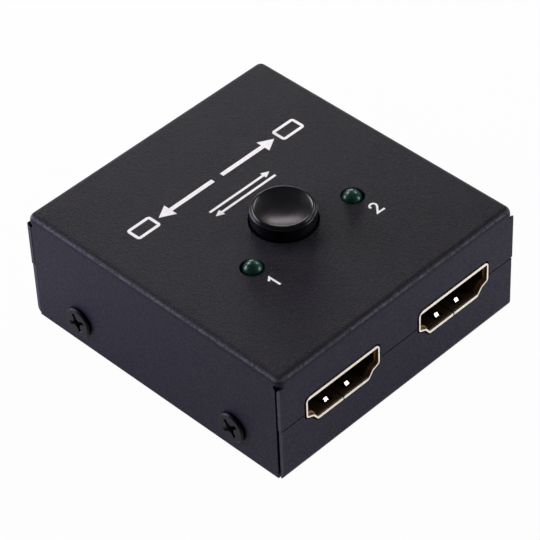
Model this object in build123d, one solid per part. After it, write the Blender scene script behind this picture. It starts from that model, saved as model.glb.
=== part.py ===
from build123d import *
import os
from math import cos, pi, sin

# Two-way video switch box: folded steel case, three sockets, a push switch and two lamps.
# Millimetres. X runs across the side with two sockets, Y from that side to the back, Z up.
# The origin is the middle of the underside.

# Steel case
case_width = 48.8
case_depth = 51.6
case_height = 19.8
sheet = 0.6
bend_radius = 1.2
seam_gap = 0.2
front_corner_gap = 0.35
back_corner_gap = 0.15
relief_radius = 0.5
relief_drop = 0.6
flap_lift = 0.05
tray_inset = 0.15
flap_clearance = 0.15

# Tabs of the tray that take the side screws
tab_width = 8.0
tab_height = 7.3
tab_corner = 1.5
tab_foot = 3.6
screw_reach_y = 16.0
screw_level = 4.4

# Side screws and board screws
side_thread_radius = 1.25
side_thread_length = 3.6
side_head_radius = 2.5
side_head_height = 0.65
side_head_bevel = 0.25
side_hole_clearance = 0.2
front_screw_turn = 40
back_screw_turn = 25
board_thread_radius = 1.2
board_thread_length = 4.4
board_head_flats = 4.0
board_head_height = 1.3
board_hole_clearance = 0.15
thread_fit = 0.03
cross_reach = 1.65
cross_arm = 0.6
cross_floor_reach = 0.7
cross_floor_arm = 0.4
cross_hub = 0.72
cross_floor_hub = 0.35
cross_depth = 0.95

# Sockets
socket_side_gap = 5.225
socket_shift = -0.245
socket_lift = 0.15
socket_width = 15.0
socket_height = 5.55
socket_length = 12.0
socket_wall = 0.5
socket_proud = 0.1
mouth_side_wall = 0.28
mouth_depth = 0.7
socket_step = 0.95
shelf_drop = 0.55
shelf_inset = 1.35
base_inset = 2.3
top_corner = 0.9
side_corner = 0.6
shelf_corner = 0.5
base_corner = 0.65
seam_slit = 0.2
cutout_gap = 0.3

# Springy fingers cut out of the socket's walls
finger_width = 1.3
finger_tip_width = 0.75
finger_slot = 0.25
finger_sheet = 0.25
finger_tip = 1.2
finger_crest = 1.78
finger_root = 7.4
finger_hold = 0.6
finger_rise = 0.2
base_finger_x = 2.15
top_finger_x = 2.9
side_finger_z = 0.7

# Legs that pass through the board
leg_width = 1.2
leg_front = 3.2
leg_back = 9.4
leg_below = 0.7
leg_slot_clearance = 0.25

# Insulator and contacts
insulator_clearance = 0.05
block_start = 9.0
tongue_start = 2.4
tongue_margin = 1.2
tongue_thickness = 1.5
tongue_rise = 0.25
tongue_chamfer = 0.35
contact_pitch = 1.0
top_contacts = 10
base_contacts = 9
contact_width = 0.3
contact_sheet = 0.2
contact_proud = 0.05
contact_start = 3.0
contact_drop = 0.4
contact_foot = 1.0

# Circuit board
board_side_gap = 3.3
board_front_gap = 0.9
board_thickness = 1.6
board_corner = 1.0

# Stand-offs between tray and board
standoff_flats = 4.5
standoff_side_inset = 3.0
standoff_front_gap = 4.0
standoff_back_inset = 4.3
spigot_radius = 1.9
spigot_clearance = 0.05
spigot_lift = 0.05

# Push switch
button_y = -2.95
housing_width = 8.5
housing_height = 6.725
housing_wall = 0.8
housing_roof = 0.8
plinth_height = 1.3
plinth_clearance = 0.05
stem_width = 3.0
stem_clearance = 0.1
carriage_width = 5.6
carriage_height = 1.5
carriage_gap = 0.1
press_travel = 2.0
press_gap = 0.3
peg_radius = 1.15
boss_height = 0.3
pin_width = 0.7
pin_sheet = 0.3
pin_pitch = 2.5
pin_row = 5.0
pin_below = 1.1
pin_above = 0.9
pin_hole_radius = 0.55

# Return spring
wire_radius = 0.15
coil_radius = 1.6
wire_sides = 8
coil_turns = 3
coil_end_gap = 0.02

# Button cap
cap_radius = 4.97
cap_rim_radius = 4.65
cap_rise = 2.5
cap_rim_bevel = 0.2
cap_rim_height = 0.35
cap_shoulder_bevel = 0.15
cap_wall = 1.0
cap_roof = 1.3
dish_depth = 0.5
boss_radius = 2.9
stem_bevel = 0.3
stem_seat = 0.02
button_gap = 0.3

# Lamps
lamp_margin = 14.1
lamp_y = -6.85
lamp_radius = 1.5
lamp_rise = 1.0
lamp_length = 5.3
lamp_flange_radius = 1.9
lamp_flange_height = 1.0
lamp_flange_flat = 1.6
lamp_hole_radius = 1.84
lamp_lean = 0.15
lead_width = 0.5
lead_pitch = 2.54
lead_below = 1.2
lead_inside = 2.6
anvil_width = 1.1
anvil_gap = 0.3
lead_hole_radius = 0.45

# Chips and small parts on the board
chip_margin = 10.8
chip_y = 3.0
chip_width = 4.4
chip_length = 9.7
chip_height = 1.0
chip_lift = 0.1
chip_bevel = 0.17
dimple_radius = 0.44
dimple_inset = 0.75
dimple_depth = 0.1
chip_leads = 8
chip_lead_pitch = 1.27
chip_lead_width = 0.42
chip_lead_sheet = 0.15
chip_lead_reach = 1.0
chip_lead_shoulder = 0.4
chip_lead_level = 0.55
small_length = 1.6
small_width = 0.8
small_height = 0.5
small_cap = 0.3
small_relief = 0.06
resistor_gap = 1.9
resistor_xs = [-6.0, -2.8, 2.8, 6.0]
capacitor_gap = 2.9
capacitor_pitch = 2.4
capacitor_count = 6

# Sizes that follow from the ones above
seam_height = case_height / 2
socket_level = seam_height + socket_lift
board_top = socket_level - socket_height / 2
board_width = case_width - 2 * (sheet + board_side_gap)
board_base = board_top - board_thickness
board_depth = case_depth - 2 * (sheet + board_front_gap)
socket_plane = case_depth / 2 + socket_proud
feet_y = socket_plane - socket_length - contact_drop - contact_foot
cap_top = case_height + cap_rise
housing_top = board_top + housing_height
cap_base = housing_top + press_travel + press_gap
carriage_top = housing_top - housing_roof - carriage_gap
carriage_base = carriage_top - carriage_height
plinth_top = board_top + plinth_height
boss_top = plinth_top + boss_height
peg_base = boss_top + press_travel + carriage_gap
corner_level = case_height - bend_radius - relief_drop
flap_inside = case_width / 2 - sheet
tab_outside = flap_inside - flap_clearance
screw_ys = [-screw_reach_y, screw_reach_y]
standoff_x = board_width / 2 - standoff_side_inset
standoff_ys = [standoff_front_gap - feet_y, board_depth / 2 - standoff_back_inset]
standoff_places = [(x, y) for x in (-standoff_x, standoff_x) for y in standoff_ys]
socket_reach = case_width / 2 - socket_side_gap - socket_width / 2
front_socket_xs = [socket_shift - socket_reach, socket_shift + socket_reach]
pin_places = [
    (x, y) for x in (-pin_row / 2, pin_row / 2) for y in (-pin_pitch, 0, pin_pitch)
]


def upright_face(outline):
    """Face drawn in X and Z, pulled along Y by along_y."""
    return make_face(Plane.XZ * outline)


def along_y(face, start, length):
    """Pull an upright face along +Y from start."""
    return Pos(0, start, 0) * extrude(face, length, dir=(0, 1, 0))


def folded_box(width, depth, low, high, radius):
    """Box with folded top edges that meet in ball corners, its flaps square below the corners."""
    folds = block(width, depth, low, high)
    folds = fillet(folds.edges().filter_by(Axis.Z) + folds.edges().group_by(Axis.Z)[-1], radius)
    return folds + block(width, depth, low, corner_level)


def place_socket(shape, number):
    """Put a socket piece, drawn with its mouth at the origin, in front place 1 or 2 or at the back."""
    if number == 3:
        return Pos(0, socket_plane, socket_level) * Rot(0, 0, 180) * shape
    return Pos(front_socket_xs[number - 1], -socket_plane, socket_level) * shape


def socket_face(grow=0.0):
    """Outline of the socket, wide side up, with the steps that key the plug, grown evenly."""
    half_width = socket_width / 2
    half_height = socket_height / 2
    right = [
        (half_width, half_height),
        (half_width, -socket_step),
        (half_width - shelf_inset, -socket_step - shelf_drop),
        (half_width - base_inset, -half_height),
    ]
    left = [(-x, z) for x, z in reversed(right)]
    radii = [top_corner, side_corner, shelf_corner, base_corner]
    outline = FilletPolyline(*(right + left), radius=radii + radii[::-1], close=True)
    face = upright_face(outline)
    return offset(face, grow) if grow else face


def socket_lead_in():
    """Space just inside the mouth that thins the shell's sides and steps, not its top and base."""
    space = along_y(socket_face(-mouth_side_wall), 0, mouth_depth)
    return space & Box(socket_width, 3 * mouth_depth, socket_height - 2 * socket_wall)


def socket_passage(number):
    """Solid that cuts one socket's opening through the case wall."""
    return place_socket(along_y(socket_face(cutout_gap), -socket_proud, 2 * sheet), number)


def lamp_place(side):
    """Place on a lamp's axis: side is -1 for lamp 1 and 1 for lamp 2."""
    return Pos(side * (case_width / 2 - lamp_margin), lamp_y, 0)


def round_bar(radius, low, high):
    """Upright round bar from low to high on the Z axis."""
    return Pos(0, 0, low) * Cylinder(radius, high - low, align=(Align.CENTER, Align.CENTER, Align.MIN))


def block(width, depth, low, high):
    """Upright block centred on the Z axis from low to high."""
    return Pos(0, 0, low) * Box(width, depth, high - low, align=(Align.CENTER, Align.CENTER, Align.MIN))


def side_hole(side, y, radius, depth):
    """Round bar along X through the flap and tab on one side of the case."""
    return Pos(side * case_width / 2, y, screw_level) * Rot(0, 90, 0) * Cylinder(radius, depth)


def make_top_cover():
    """Top panel with full-height side flaps and half-height front and back flaps."""
    outside = folded_box(case_width, case_depth, flap_lift, case_height, bend_radius)
    inside = folded_box(
        case_width - 2 * sheet, case_depth - 2 * sheet,
        flap_lift - sheet, case_height - sheet, bend_radius - sheet,
    )
    cover = outside - inside
    flap_end = seam_height + seam_gap / 2
    for end, gap in ((-1, front_corner_gap), (1, back_corner_gap)):
        lower_flap = Box(case_width + sheet, sheet + gap, 2 * flap_end)
        cover -= Pos(0, end * (case_depth - sheet - gap) / 2, 0) * lower_flap
        slot_y = end * (case_depth / 2 - sheet - gap / 2)
        for side in (-1, 1):
            slot = block(2 * sheet + relief_radius, gap, 0, corner_level)
            cover -= Pos(side * flap_inside, slot_y, 0) * slot
            relief = Rot(0, 90, 0) * Cylinder(relief_radius, 2 * sheet + relief_radius)
            cover -= Pos(side * flap_inside, slot_y, corner_level) * relief
    for side in (-1, 1):
        for y in screw_ys:
            cover -= side_hole(side, y, side_thread_radius + side_hole_clearance, 3 * sheet)
        hole = round_bar(lamp_hole_radius, case_height - 2 * sheet, case_height + sheet)
        cover -= Pos(side * lamp_lean, 0, 0) * lamp_place(side) * hole
    button_hole = round_bar(cap_radius + button_gap, case_height - 2 * sheet, case_height + sheet)
    cover -= Pos(0, button_y, 0) * button_hole
    for number in (1, 2, 3):
        cover -= socket_passage(number)
    return cover


def tray_tab():
    """Upturned screw tab at the tray's right-hand edge, with its folded foot."""
    foot = tab_outside - tab_foot
    outline = FilletPolyline(
        (foot, 0), (tab_outside, 0), (tab_outside, tab_height),
        (tab_outside - sheet, tab_height), (tab_outside - sheet, sheet), (foot, sheet),
        radius=[0, bend_radius, 0, 0, bend_radius - sheet, 0], close=True,
    )
    tab = along_y(upright_face(outline), -tab_width / 2, tab_width)
    top_corners = tab.edges().filter_by(Axis.X).group_by(Axis.Z)[-1]
    return fillet(top_corners, tab_corner)


def make_bottom_tray():
    """Floor panel with half-height front and back flaps and four screw tabs."""
    top = seam_height - seam_gap / 2
    profile = Rectangle(case_depth, top)
    profile = fillet(profile.vertices().group_by(Axis.Y)[0], bend_radius)
    hollow = Rectangle(case_depth - 2 * sheet, 2 * top)
    hollow = fillet(hollow.vertices().group_by(Axis.Y)[0], bend_radius - sheet)
    channel = Plane.YZ * (Pos(0, top / 2) * profile - Pos(0, top + sheet) * hollow)
    tray = extrude(channel, case_width / 2 - tray_inset, both=True)
    side_run = case_depth - 2 * sheet
    for side in (-1, 1):
        tray -= Pos(side * (tab_outside + case_width / 4), 0, 0) * block(case_width / 2, side_run, -sheet, top)
        for y in screw_ys:
            tray -= Pos(side * (tab_outside - bend_radius), y, 0) * block(
                2 * bend_radius, tab_width, -sheet, 2 * sheet
            )
            turn = Rot(0, 0, 0) if side > 0 else Rot(0, 0, 180)
            tray += Pos(0, y, 0) * turn * tray_tab()
            tray -= side_hole(side, y, side_thread_radius + thread_fit, 6 * sheet)
    for x, y in standoff_places:
        tray -= Pos(x, y, 0) * round_bar(spigot_radius + spigot_clearance, -sheet, 2 * sheet)
    for number in (1, 2, 3):
        tray -= socket_passage(number)
    return tray


def domed_arc(edge_radius, edge_level, middle_level):
    """Arc in X and Y from an edge to the Z axis, part of a ball centred on that axis."""
    bulge = middle_level - edge_level
    ball = (edge_radius**2 + bulge**2) / (2 * bulge)
    halfway = edge_radius / 2
    up = 1 if bulge > 0 else -1
    level = middle_level - ball + up * (ball**2 - halfway**2) ** 0.5
    return ThreePointArc((edge_radius, edge_level), (halfway, level), (0, middle_level))


def cross_recess():
    """Cross-shaped drive recess, open at Z zero and going down, with tapered arms and a hub."""
    arm = loft([
        Rectangle(2 * cross_reach, cross_arm),
        Pos(0, 0, -cross_depth) * Rectangle(2 * cross_floor_reach, cross_floor_arm),
    ])
    hub = Rot(0, 0, 45) * loft([
        Rectangle(2 * cross_hub, 2 * cross_hub),
        Pos(0, 0, -cross_depth) * Rectangle(2 * cross_floor_hub, 2 * cross_floor_hub),
    ])
    return arm + Rot(0, 0, 90) * arm + hub


def make_side_screws():
    """Four bevelled pan-head screws that hold the cover's flaps to the tray's tabs."""
    outline = Polyline(
        (0, side_head_height), (0, -side_thread_length), (side_thread_radius, -side_thread_length),
        (side_thread_radius, 0), (side_head_radius, 0),
        (side_head_radius, side_head_height - side_head_bevel),
        (side_head_radius - side_head_bevel, side_head_height), close=True,
    )
    one = revolve(make_face(Plane.XZ * outline), Axis.Z)
    one -= Pos(0, 0, side_head_height) * cross_recess()
    screws = []
    for side in (-1, 1):
        for y, angle in zip(screw_ys, (front_screw_turn, back_screw_turn)):
            turn = Rot(0, side * 90, 0) * Rot(0, 0, angle)
            screws.append(Pos(side * case_width / 2, y, screw_level) * turn * one)
    return screws


def make_circuit_board():
    """Board with slots and holes for everything that passes through it."""
    outline = RectangleRounded(board_width, board_depth, board_corner)
    board = Pos(0, 0, board_base) * extrude(outline, board_thickness)
    slot = block(
        socket_wall + 2 * leg_slot_clearance, leg_width + 2 * leg_slot_clearance,
        -board_thickness - socket_height, socket_height,
    )
    for number in (1, 2, 3):
        for side in (-1, 1):
            for y in (leg_front, leg_back):
                x = side * (socket_width - socket_wall) / 2
                board -= place_socket(Pos(x, y, 0) * slot, number)
    for x, y in standoff_places:
        hole = round_bar(board_thread_radius + board_hole_clearance, board_base - 1, board_top + 1)
        board -= Pos(x, y, 0) * hole
    for x, y in pin_places:
        board -= Pos(x, button_y + y, 0) * round_bar(pin_hole_radius, board_base - 1, board_top + 1)
    for side in (-1, 1):
        for lead in (-1, 1):
            hole = round_bar(lead_hole_radius, board_base - 1, board_top + 1)
            board -= lamp_place(side) * Pos(lead * lead_pitch / 2, 0, 0) * hole
    return board


def make_board_standoffs():
    """Four threaded hexagon pillars pressed into the tray's floor."""
    pillars = []
    for x, y in standoff_places:
        hexagon = RegularPolygon(standoff_flats / 2, 6, major_radius=False)
        pillar = Pos(0, 0, sheet) * extrude(hexagon, board_base - sheet)
        pillar += round_bar(spigot_radius, spigot_lift, sheet)
        pillar -= round_bar(board_thread_radius + thread_fit, spigot_lift - 1, board_base + 1)
        pillars.append(Pos(x, y, 0) * pillar)
    return pillars


def make_board_screws():
    """Four hexagon-headed screws that hold the board down on its pillars."""
    head = extrude(RegularPolygon(board_head_flats / 2, 6, major_radius=False), board_head_height)
    one = head + round_bar(board_thread_radius, -board_thread_length, 0)
    return [Pos(x, y, board_top) * one for x, y in standoff_places]


def finger():
    """Tapered spring finger of a wall whose inner face is at Z zero, pointing out of the mouth."""
    low = -(socket_wall + finger_sheet) / 2
    outline = Polyline(
        (finger_tip, low), (finger_crest, finger_rise - finger_sheet), (finger_root, low),
        (finger_root + finger_hold, low), (finger_root + finger_hold, low + finger_sheet),
        (finger_root, low + finger_sheet), (finger_crest, finger_rise),
        (finger_tip, low + finger_sheet), close=True,
    )
    plan = Polyline(
        (finger_tip_width / 2, finger_tip), (finger_width / 2, finger_root),
        (finger_width / 2, finger_root + finger_hold), (-finger_width / 2, finger_root + finger_hold),
        (-finger_width / 2, finger_root), (-finger_tip_width / 2, finger_tip), close=True,
    )
    strip = extrude(make_face(Plane.YZ * outline), finger_width / 2, both=True)
    return strip & extrude(make_face(plan), socket_wall + finger_rise, both=True)


def finger_window():
    """Opening in the wall round a spring finger."""
    length = finger_root - finger_tip + 2 * finger_slot
    width = finger_width + 2 * finger_slot
    return Pos(0, finger_tip - finger_slot + length / 2, -socket_wall / 2) * Box(width, length, 3 * socket_wall)


def finger_places():
    """Places of the fingers: two in the base, two in the top and one in each side."""
    rise = socket_height / 2 - socket_wall
    reach = socket_width / 2 - socket_wall
    places = []
    for side in (-1, 1):
        places.append(Pos(side * base_finger_x, 0, -rise))
        places.append(Pos(side * top_finger_x, 0, rise) * Rot(0, 180, 0))
        places.append(Pos(side * reach, 0, side_finger_z) * Rot(0, -side * 90, 0))
    return places


def make_socket_shell():
    """Stamped shell: a strip folded round to a seam, with a lead-in, six fingers and four legs."""
    shell = along_y(socket_face() - socket_face(-socket_wall), 0, socket_length)
    shell -= socket_lead_in()
    slit = Box(seam_slit, 2 * socket_length + 1, 3 * socket_wall)
    shell -= Pos(0, 0, -socket_height / 2) * slit
    for place in finger_places():
        shell -= place * finger_window()
        shell += place * finger()
    leg_top = -socket_step / 2
    leg_end = -socket_height / 2 - board_thickness - leg_below
    for side in (-1, 1):
        for y in (leg_front, leg_back):
            x = side * (socket_width - socket_wall) / 2
            shell += Pos(x, y, 0) * block(socket_wall, leg_width, leg_end, leg_top)
    return shell


def contact(level, x):
    """One contact: a strip along the tongue, out of the back and down to a foot on the board."""
    start = contact_start
    back = socket_length + contact_drop
    foot = -socket_height / 2
    outline = Polyline(
        (start, level), (back + contact_sheet, level), (back + contact_sheet, foot + contact_sheet),
        (back + contact_foot, foot + contact_sheet), (back + contact_foot, foot), (back, foot),
        (back, level - contact_sheet), (start, level - contact_sheet), close=True,
    )
    return Pos(x, 0, 0) * extrude(make_face(Plane.YZ * outline), contact_width / 2, both=True)


def make_socket_contacts():
    """Nineteen contacts in two rows, ten above the tongue and nine below."""
    top_level = tongue_rise + tongue_thickness / 2 + contact_proud
    base_level = tongue_rise - tongue_thickness / 2 + contact_sheet - contact_proud
    strips = []
    for level, count in ((top_level, top_contacts), (base_level, base_contacts)):
        for index in range(count):
            strips.append(contact(level, (index - (count - 1) / 2) * contact_pitch))
    return strips


def make_socket_insulator(contacts):
    """Moulded block that fills the shell's back, with the tongue that carries the contacts."""
    face = socket_face(-socket_wall - insulator_clearance)
    tongue_width = socket_width - 2 * (socket_wall + tongue_margin)
    body = along_y(face, block_start, socket_length - block_start)
    tongue = Pos(0, (tongue_start + block_start) / 2 + tongue_chamfer, tongue_rise) * Box(
        tongue_width, block_start - tongue_start + 2 * tongue_chamfer, tongue_thickness
    )
    tip = tongue.edges().filter_by(Axis.X).group_by(Axis.Y)[0]
    body += chamfer(tip, tongue_chamfer)
    for strip in contacts:
        body -= strip
    return body


def make_switch_housing():
    """Square housing of the push switch, open below, with a guide hole for the stem."""
    housing = block(housing_width, housing_width, board_top, housing_top)
    housing = fillet(housing.edges().filter_by(Axis.Z), housing_wall / 2)
    room = housing_width - 2 * housing_wall
    housing -= block(room, room, board_top - 1, housing_top - housing_roof)
    guide = stem_width + 2 * stem_clearance
    housing -= block(guide, guide, board_top, housing_top + 1)
    return Pos(0, button_y, 0) * housing


def terminal():
    """One switch terminal with a flat blade above the plinth and a pin through the board."""
    pin_end = board_base - pin_below
    blade = block(pin_sheet, pin_width, board_top, plinth_top + pin_above)
    pin = block(pin_sheet, pin_width * 0.6, pin_end, board_top)
    return blade + pin


def make_switch_terminals():
    """Six terminals in two rows."""
    return [Pos(x, button_y + y, 0) * terminal() for x, y in pin_places]


def make_switch_plinth(terminals):
    """Plate that closes the housing below and holds the terminals and the spring's foot."""
    room = housing_width - 2 * (housing_wall + plinth_clearance)
    plinth = block(room, room, board_top, plinth_top)
    plinth += round_bar(peg_radius, plinth_top, boss_top)
    plinth = Pos(0, button_y, 0) * plinth
    for pin in terminals:
        plinth -= pin
    return plinth


def make_switch_plunger():
    """Square stem with a carriage below the housing's roof and a peg for the spring."""
    stem_top = cap_top - cap_roof - stem_seat
    stem = block(stem_width, stem_width, carriage_top, stem_top)
    stem = chamfer(stem.edges().group_by(Axis.Z)[-1], stem_bevel)
    carriage = block(pin_row - pin_sheet - 2 * stem_clearance, carriage_width, carriage_base, carriage_top)
    peg = round_bar(peg_radius, peg_base, carriage_base)
    return Pos(0, button_y, 0) * (stem + carriage + peg)


def helix_point(angle, low, rise_per_turn):
    """Point and direction of the coil at an angle in radians."""
    climb = rise_per_turn / (2 * pi)
    point = Vector(coil_radius * cos(angle), coil_radius * sin(angle), low + climb * angle)
    heading = Vector(-coil_radius * sin(angle), coil_radius * cos(angle), climb).normalized()
    return point, heading


def biarc(start, start_heading, end, end_heading):
    """Two arcs that join smoothly and leave and reach the given points along their headings."""
    chord = end - start
    both = start_heading + end_heading
    a = both.dot(both) / 4 - 1
    b = -chord.dot(both) / 2
    c = chord.dot(chord) / 4
    reach = (-b - (b * b - 4 * a * c) ** 0.5) / (2 * a) if abs(a) > 1e-9 else -c / b
    reach = abs(reach)
    joint = (start + start_heading * reach + end - end_heading * reach) * 0.5
    return [
        TangentArc(start, joint, tangent=start_heading),
        TangentArc(end, joint, tangent=-end_heading),
    ]


def make_switch_spring():
    """Return spring: one unbroken wire wound between the plinth and the carriage."""
    low = plinth_top + wire_radius + coil_end_gap
    high = carriage_base - wire_radius - coil_end_gap
    rise = (high - low) / coil_turns
    print("spring: least gap between turns", round(rise - 2 * wire_radius, 3), "mm")
    path = []
    quarters = 4 * coil_turns
    for quarter in range(quarters):
        first = helix_point(quarter * pi / 2, low, rise)
        second = helix_point((quarter + 1) * pi / 2, low, rise)
        path += biarc(first[0], first[1], second[0], second[1])
    start, heading = helix_point(0, low, rise)
    section = Plane(origin=start, z_dir=heading) * RegularPolygon(wire_radius, wire_sides)
    return Pos(0, button_y, 0) * sweep(section, path=Wire(path))


def make_button_cap():
    """Round cap with a dished top inside a thin rim, hollow below, with a boss for the stem."""
    shoulder = cap_top - cap_rim_height
    dish = domed_arc(cap_rim_radius - cap_rim_bevel, cap_top, cap_top - dish_depth)
    outside = Polyline(
        (cap_rim_radius - cap_rim_bevel, cap_top), (cap_rim_radius, cap_top - cap_rim_bevel),
        (cap_rim_radius, shoulder), (cap_radius - cap_shoulder_bevel, shoulder),
        (cap_radius, shoulder - cap_shoulder_bevel), (cap_radius, cap_base),
        (0, cap_base), (0, cap_top - dish_depth),
    )
    cap = revolve(make_face(Plane.XZ * (dish + outside)), Axis.Z)
    roof = cap_top - dish_depth - cap_roof
    cap -= round_bar(cap_radius - cap_wall, cap_base - 1, roof) - round_bar(boss_radius, cap_base - 1, roof)
    socket = stem_width + 2 * stem_seat
    cap -= block(socket, socket, cap_base - 1, cap_top - cap_roof)
    return Pos(0, button_y, 0) * cap


def make_lamp_leads(side):
    """Two leads of a lamp, stepped inwards in the lens: one carries the wide anvil, one the post."""
    lens_base = case_height + lamp_rise - lamp_length
    foot_length = (lead_pitch - anvil_gap) / 2
    leads = []
    for lead, top_width in ((-1, anvil_width), (1, lead_width)):
        wire = block(lead_width, lead_width, board_base - lead_below, lens_base + lead_width)
        foot = block(foot_length, lead_width, lens_base, lens_base + lead_width)
        top = block(top_width, lead_width, lens_base, lens_base + lead_inside)
        whole = Pos(lead * lead_pitch / 2, 0, 0) * wire
        whole += Pos(lead * (anvil_gap + foot_length) / 2, 0, 0) * foot
        whole += Pos(lead * (anvil_gap + top_width) / 2, 0, 0) * top
        leads.append(lamp_place(side) * whole)
    return leads


def make_lamp_lens(side, leads):
    """Lens of a lamp: flanged cylinder with a round dome, cast over the leads' ends."""
    lens_base = case_height + lamp_rise - lamp_length
    dome_start = case_height + lamp_rise - lamp_radius
    lens = round_bar(lamp_radius, lens_base, dome_start) + Pos(0, 0, dome_start) * Sphere(lamp_radius)
    flange = round_bar(lamp_flange_radius, lens_base, lens_base + lamp_flange_height)
    flat = Pos(-lamp_flange_flat - lamp_radius, 0, 0)
    flange -= flat * block(2 * lamp_radius, 4 * lamp_radius, lens_base - 1, lens_base + 2 * lamp_flange_height)
    lens = lamp_place(side) * (lens + flange)
    for lead in leads:
        lens -= lead
    return lens


def chip_places():
    """Middle of each switching chip on the board's top."""
    return [Pos(side * (case_width / 2 - chip_margin), chip_y, board_top) for side in (-1, 1)]


def make_switching_chips():
    """Two moulded chip bodies with a dimple at pin one."""
    chips = []
    for place in chip_places():
        body = block(chip_width, chip_length, chip_lift, chip_lift + chip_height)
        body = chamfer(body.edges().group_by(Axis.Z)[-1], chip_bevel)
        top = chip_lift + chip_height
        dimple = round_bar(dimple_radius, top - dimple_depth, top + dimple_depth)
        body -= Pos(dimple_inset - chip_width / 2, chip_length / 2 - dimple_inset, 0) * dimple
        chips.append(place * body)
    return chips


def make_chip_leads():
    """Gull-wing leads along the two long sides of each chip."""
    reach = chip_width / 2 + chip_lead_reach
    knee = chip_width / 2 + chip_lead_shoulder
    sheet_up = chip_lead_sheet
    outline = Polyline(
        (chip_width / 2, chip_lead_level), (knee, chip_lead_level), (knee, sheet_up),
        (reach, sheet_up), (reach, 0), (knee - sheet_up, 0),
        (knee - sheet_up, chip_lead_level - sheet_up), (chip_width / 2, chip_lead_level - sheet_up),
        close=True,
    )
    lead = extrude(make_face(Plane.XZ * outline), chip_lead_width / 2, both=True)
    leads = []
    for place in chip_places():
        for side in (0, 180):
            for index in range(chip_leads):
                y = (index - (chip_leads - 1) / 2) * chip_lead_pitch
                leads.append(place * Rot(0, 0, side) * Pos(0, y, 0) * lead)
    return leads


def small_part():
    """Surface-mount part with raised metal end caps, lying along X."""
    middle = block(small_length - 2 * small_cap, small_width - small_relief, 0, small_height - small_relief)
    part = middle
    for side in (-1, 1):
        cap = block(small_cap, small_width, 0, small_height)
        part += Pos(side * (small_length - small_cap) / 2, 0, 0) * cap
    return part


def make_resistors():
    """Four resistors in a row between the front sockets and the push switch."""
    return [Pos(x, resistor_gap - feet_y, board_top) * small_part() for x in resistor_xs]


def make_capacitors():
    """Row of capacitors in front of the back socket."""
    upright = Rot(0, 0, 90) * small_part()
    first = -(capacitor_count - 1) / 2 * capacitor_pitch
    return [
        Pos(first + index * capacitor_pitch, feet_y - capacitor_gap, board_top) * upright
        for index in range(capacitor_count)
    ]


def write(name, shape):
    """Write one node's solids to its own file."""
    if isinstance(shape, (list, tuple)):
        shape = Compound(children=[piece for item in shape for piece in item.solids()])
    export_step(shape, f"parts/{name}.step")


def main():
    """Build every piece and write it."""
    os.makedirs("parts", exist_ok=True)
    write("top_cover", make_top_cover())
    write("bottom_tray", make_bottom_tray())
    write("side_screws", make_side_screws())
    write("circuit_board", make_circuit_board())
    write("board_standoffs", make_board_standoffs())
    write("board_screws", make_board_screws())
    shell = make_socket_shell()
    contacts = make_socket_contacts()
    insulator = make_socket_insulator(contacts)
    for number, name in ((1, "front_socket_1"), (2, "front_socket_2"), (3, "back_socket")):
        write(f"{name}_shell", place_socket(shell, number))
        write(f"{name}_insulator", place_socket(insulator, number))
        write(f"{name}_contacts", [place_socket(strip, number) for strip in contacts])
    terminals = make_switch_terminals()
    write("switch_housing", make_switch_housing())
    write("switch_plinth", make_switch_plinth(terminals))
    write("switch_terminals", terminals)
    write("switch_plunger", make_switch_plunger())
    write("switch_spring", make_switch_spring())
    write("button_cap", make_button_cap())
    for number, side in ((1, -1), (2, 1)):
        leads = make_lamp_leads(side)
        write(f"lamp_{number}_lens", make_lamp_lens(side, leads))
        write(f"lamp_{number}_leads", leads)
    write("switching_chips", make_switching_chips())
    write("chip_leads", make_chip_leads())
    write("resistors", make_resistors())
    write("capacitors", make_capacitors())


if __name__ == "__main__":
    main()
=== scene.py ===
"""Two-way video switch box, dressed for its picture.

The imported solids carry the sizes. Each class stands for one sub-assembly of the box: it reads its
place from the frame, builds what the solids leave out and gives every surface its finish. Lengths in
the classes are millimetres, and MM turns them into Blender's metres.
"""

import logging
import math
from collections.abc import Sequence
from dataclasses import dataclass
from enum import Enum
from typing import Protocol

import bmesh
import bpy
from mathutils import Matrix, Vector


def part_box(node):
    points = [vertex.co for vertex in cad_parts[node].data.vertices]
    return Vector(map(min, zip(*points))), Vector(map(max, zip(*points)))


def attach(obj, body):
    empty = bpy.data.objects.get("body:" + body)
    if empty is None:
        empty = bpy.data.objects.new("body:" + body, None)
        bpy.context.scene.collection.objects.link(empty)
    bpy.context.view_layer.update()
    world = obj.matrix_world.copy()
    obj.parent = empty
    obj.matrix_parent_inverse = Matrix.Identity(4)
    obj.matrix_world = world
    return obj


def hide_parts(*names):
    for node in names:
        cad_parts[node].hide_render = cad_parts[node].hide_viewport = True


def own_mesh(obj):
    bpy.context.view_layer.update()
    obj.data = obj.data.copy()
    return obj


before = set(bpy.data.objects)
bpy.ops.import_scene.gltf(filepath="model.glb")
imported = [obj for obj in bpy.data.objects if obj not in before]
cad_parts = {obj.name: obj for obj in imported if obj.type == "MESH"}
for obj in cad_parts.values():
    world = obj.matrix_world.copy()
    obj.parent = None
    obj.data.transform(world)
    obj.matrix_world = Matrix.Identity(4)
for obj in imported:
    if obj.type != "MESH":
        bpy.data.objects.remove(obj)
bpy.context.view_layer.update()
LOG = logging.getLogger("switch_box")
MM = 0.001
# an edge that turns more is sharp, and faces that differ less are one face
SHARP_ANGLE = math.radians(32)
FLAT_ANGLE = math.radians(0.6)
# points nearer than these millimetres are one point, in a shape as it is built and as it is finished
SHAPE_WELD = 0.0005
PIECE_WELD = 0.0002
# steps round a softened corner
CORNER_SEGMENTS = 5
# octaves and falloff of the noise, and the part of its range that is stretched to zero and one
GRAIN_DETAIL = 3.0
GRAIN_FALLOFF = 0.6
GRAIN_RANGE = (0.33, 0.67)

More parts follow.
